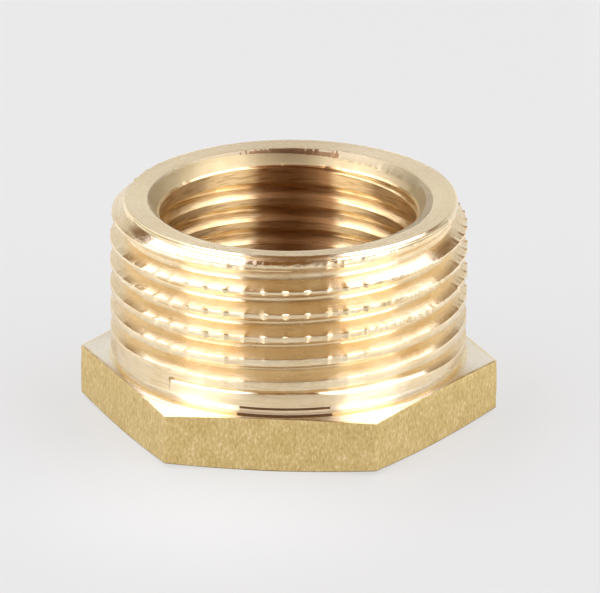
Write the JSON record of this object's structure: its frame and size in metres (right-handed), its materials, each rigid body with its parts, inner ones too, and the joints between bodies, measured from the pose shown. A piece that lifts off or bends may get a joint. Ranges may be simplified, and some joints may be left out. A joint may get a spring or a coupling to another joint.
{
  "type": "reducing bush",
  "caption": "Short brass hexagon reducing bush: a male parallel pipe thread round the outside, a smaller female pipe thread right through it and a thin spanner hexagon at one end.",
  "frame": {"origin": "on the bore's axis, in the plane of the hexagon end face", "axes": "+Z along the bore, from the hexagon end to the free end of the male thread; two opposite corners of the hexagon lie on the X axis, so two of its spanner flats face +Y and -Y"},
  "size_m": [0.0312, 0.027, 0.0164],
  "materials": {
    "brass": "machined"
  },
  "bodies": {
    "root": {"reducing_bush": "brass"}
  },
  "joints": []
}
